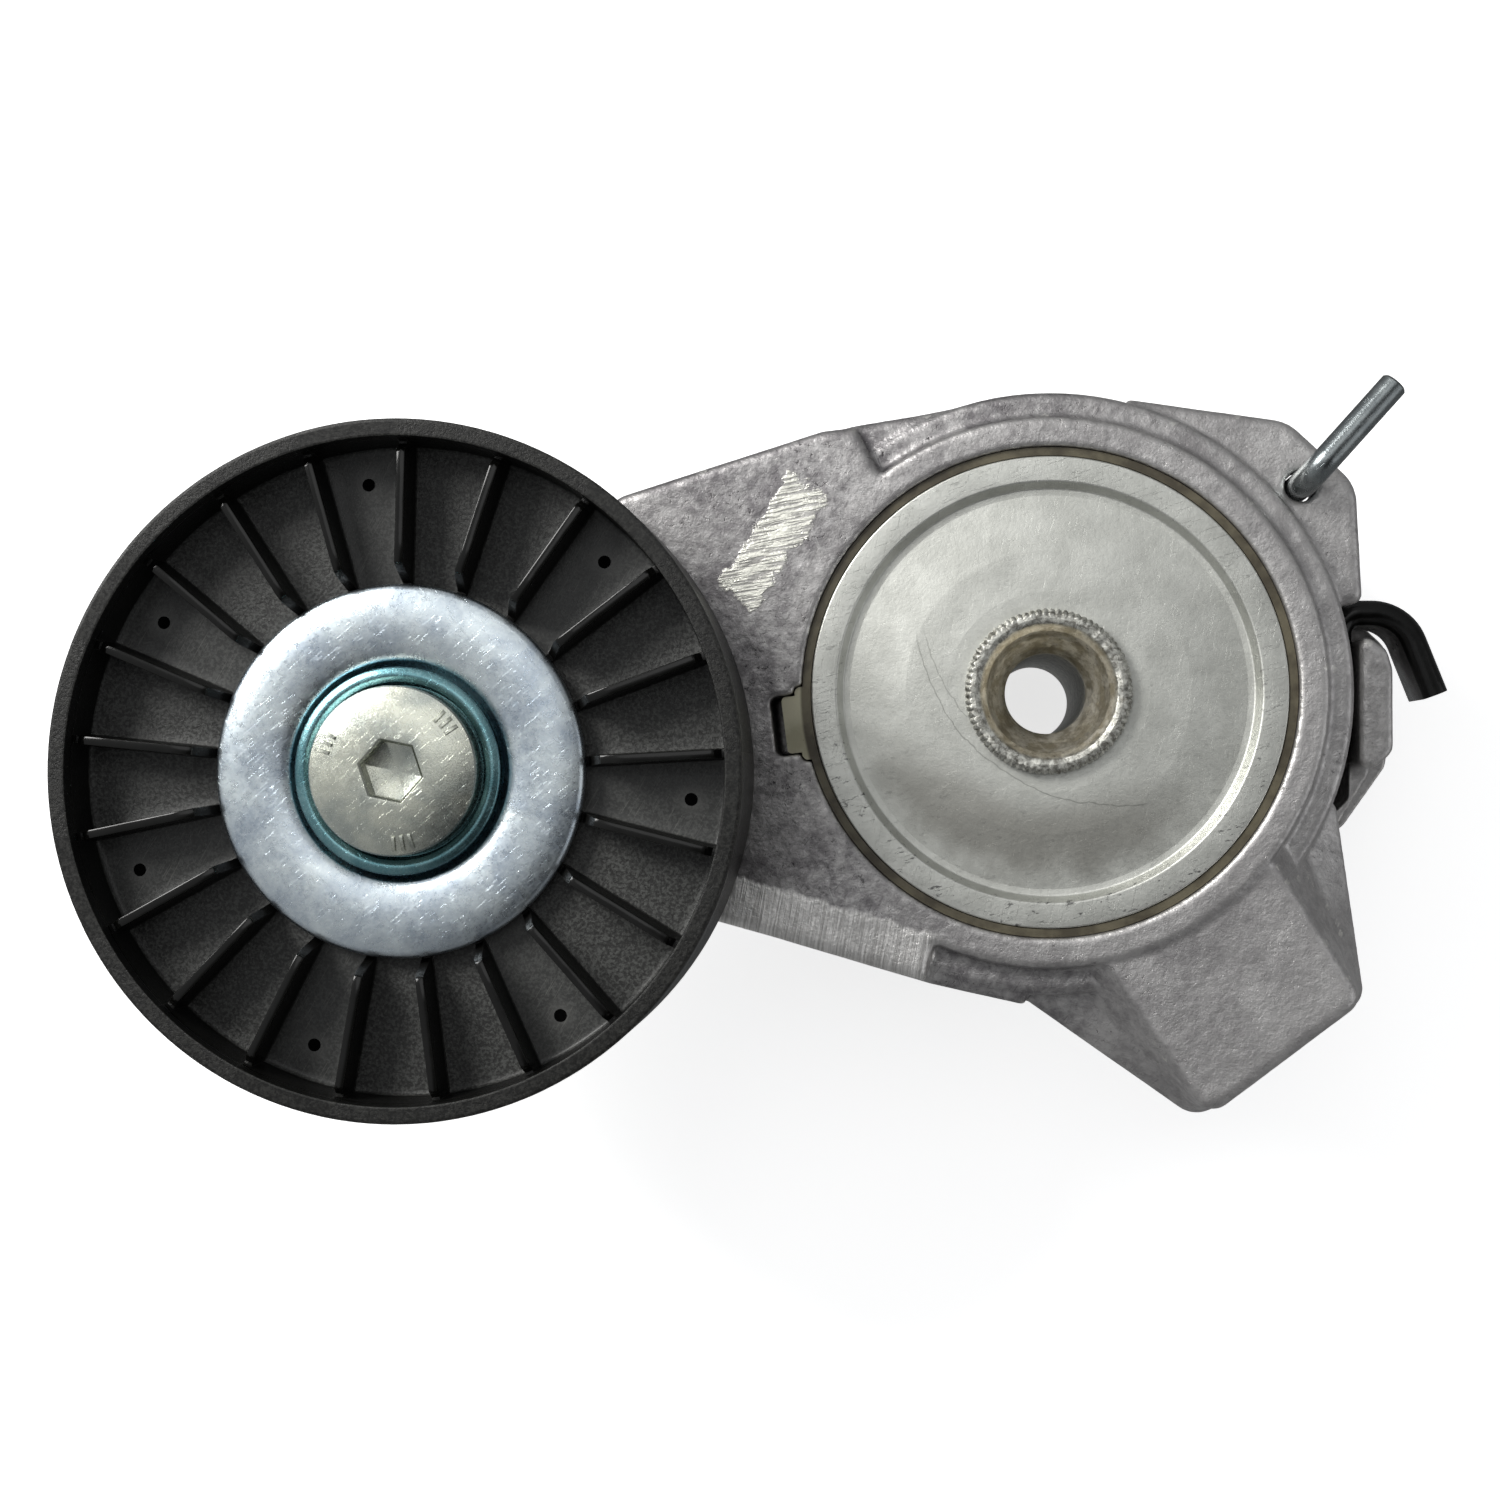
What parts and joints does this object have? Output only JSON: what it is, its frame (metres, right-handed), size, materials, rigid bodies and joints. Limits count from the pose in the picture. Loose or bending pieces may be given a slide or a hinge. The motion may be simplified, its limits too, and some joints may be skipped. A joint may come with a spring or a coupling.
{
  "type": "belt tensioner",
  "caption": "Automotive accessory-belt tensioner: a cast arm on a sprung pivot base carries a ribbed nylon idler pulley, with a bent lock pin.",
  "frame": {"origin": "centre of the pivot bore at the rear mounting face", "axes": "+Z along the pivot axis from the mounting face to the pulley side; the arm reaches towards -X; +Y completes the right-handed frame"},
  "size_m": [0.1856, 0.0999, 0.081],
  "materials": {
    "cast_base": "as-cast, grey, mottled",
    "cast_arm": "as-cast, grey with bright worn edges",
    "passivated_steel": "yellow-brown passivated, knurled collar",
    "zinc_disc": "matte zinc plate",
    "dowel_steel": "ground steel",
    "natural_nylon": "natural nylon",
    "black_spring": "gloss black",
    "bushing_polymer": "dark bearing polymer",
    "cream_nylon": "cream nylon, satin",
    "bearing_steel": "ground bearing steel",
    "blue_zinc": "blue-white zinc plate",
    "teal_zinc": "blue-green zinc plate",
    "yellow_zinc": "pale yellow zinc plate",
    "black_nylon": "black glass-filled nylon, satin",
    "seal_rubber": "black rubber",
    "ball_steel": "polished",
    "cage_polymer": "moulded polyamide",
    "pin_zinc": "bright zinc plate"
  },
  "bodies": {
    "base": {"base_housing": "cast_base", "pivot_tube": "passivated_steel", "cover_disc": "zinc_disc", "locating_dowel": "dowel_steel", "thrust_washer": "natural_nylon", "spiral_spring": "black_spring"},
    "arm_assembly": {"arm": "cast_arm", "pivot_bushing": "bushing_polymer", "friction_ring": "cream_nylon", "bearing_inner_ring": "bearing_steel", "front_dust_shield": "blue_zinc", "rear_dust_shield": "blue_zinc", "cup_washer": "teal_zinc", "pulley_bolt": "yellow_zinc"},
    "pulley_assembly": {"pulley": "black_nylon", "bearing_outer_ring": "bearing_steel", "bearing_seal_front": "seal_rubber", "bearing_seal_rear": "seal_rubber"},
    "ball_set": {"bearing_balls": "ball_steel", "bearing_cage": "cage_polymer"},
    "pin": {"lock_pin": "pin_zinc"}
  },
  "joints": [
    {"name": "arm_pivot", "type": "hinge", "parent": "base", "child": "arm_assembly", "pos_m": [0, 0, 0], "axis": [0, 0, 1], "range_deg": [-12, 0], "stiffness_Nm_per_rad": 15, "springref_deg": 48.7, "deforming": ["spiral_spring"]},
    {"name": "pulley_spin", "type": "hinge", "parent": "arm_assembly", "child": "pulley_assembly", "pos_m": [-0.08433, -0.01065, 0.0595], "axis": [0, 0, 1], "continuous": true},
    {"name": "ball_set_spin", "type": "hinge", "parent": "arm_assembly", "child": "ball_set", "pos_m": [-0.08433, -0.01065, 0.0595], "axis": [0, 0, 1], "continuous": true},
    {"name": "lock_pin_slide", "type": "slide", "parent": "arm_assembly", "child": "pin", "axis": [0, 0, 1], "range_m": [0, 0.022]}
  ],
  "couplings": [
    {"joint": "ball_set_spin", "follows": "pulley_spin", "ratio": 0.61837}
  ]
}
